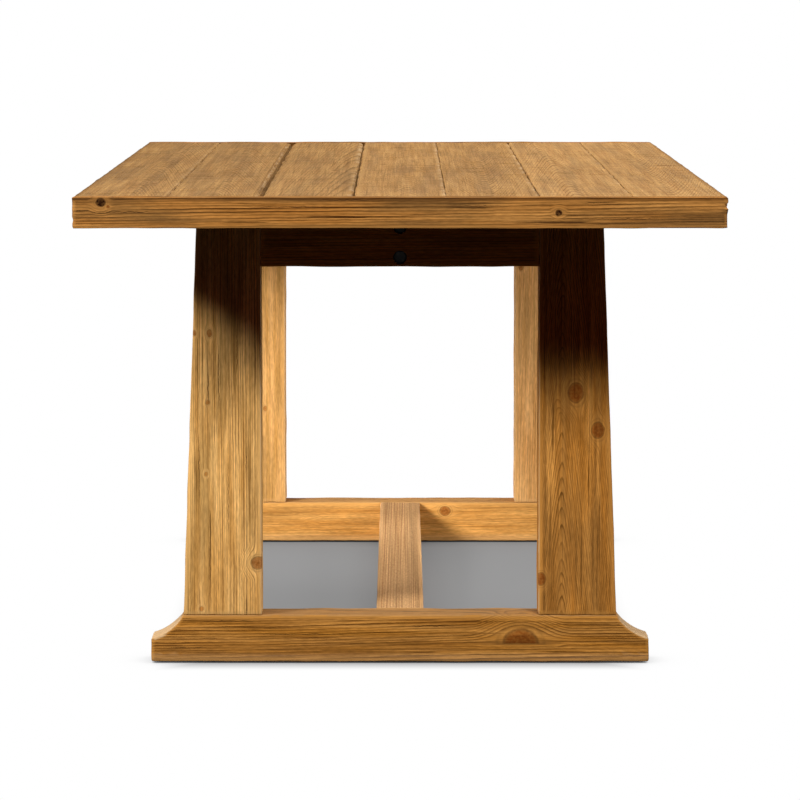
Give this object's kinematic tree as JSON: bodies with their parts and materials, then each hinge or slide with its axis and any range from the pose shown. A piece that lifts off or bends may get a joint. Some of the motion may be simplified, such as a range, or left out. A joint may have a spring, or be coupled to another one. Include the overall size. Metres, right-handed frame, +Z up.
{
  "type": "trestle dining table",
  "caption": "Long plank-topped dining table on two mortised trestles with battered legs and coved floor bases, tied by a floor stretcher and a bolted upper beam.",
  "frame": {"origin": "on the floor under the middle of the top", "axes": "+X across the table to the right as seen from its front end, +Y along the table away from that end, +Z up"},
  "size_m": [1, 2.1, 0.76],
  "materials": {
    "top_pine": "waxed, rough-sawn old pine",
    "trestle_pine": "waxed, brushed old pine",
    "joint_beech": "planed beech",
    "fastener_steel": "black oxide, oiled",
    "glide_felt": "pressed brown felt"
  },
  "bodies": {
    "root": {"back_base": "trestle_pine", "back_cap_pegs": "joint_beech", "back_end_cap": "top_pine", "back_glides": "glide_felt", "back_left_leg": "trestle_pine", "back_right_leg": "trestle_pine", "back_top_rail": "trestle_pine", "beam_bolts": "fastener_steel", "beam_nuts": "fastener_steel", "beam_washers": "fastener_steel", "front_base": "trestle_pine", "front_cap_pegs": "joint_beech", "front_end_cap": "top_pine", "front_glides": "glide_felt", "front_left_leg": "trestle_pine", "front_right_leg": "trestle_pine", "front_top_rail": "trestle_pine", "lower_stretcher": "trestle_pine", "plank_spline_1": "joint_beech", "plank_spline_2": "joint_beech", "plank_spline_3": "joint_beech", "plank_spline_4": "joint_beech", "plank_spline_5": "joint_beech", "plank_spline_6": "joint_beech", "stretcher_screws": "fastener_steel", "top_plank_1": "top_pine", "top_plank_2": "top_pine", "top_plank_3": "top_pine", "top_plank_4": "top_pine", "top_plank_5": "top_pine", "top_plank_6": "top_pine", "top_plank_7": "top_pine", "top_screws": "fastener_steel", "upper_beam": "trestle_pine"}
  },
  "joints": []
}
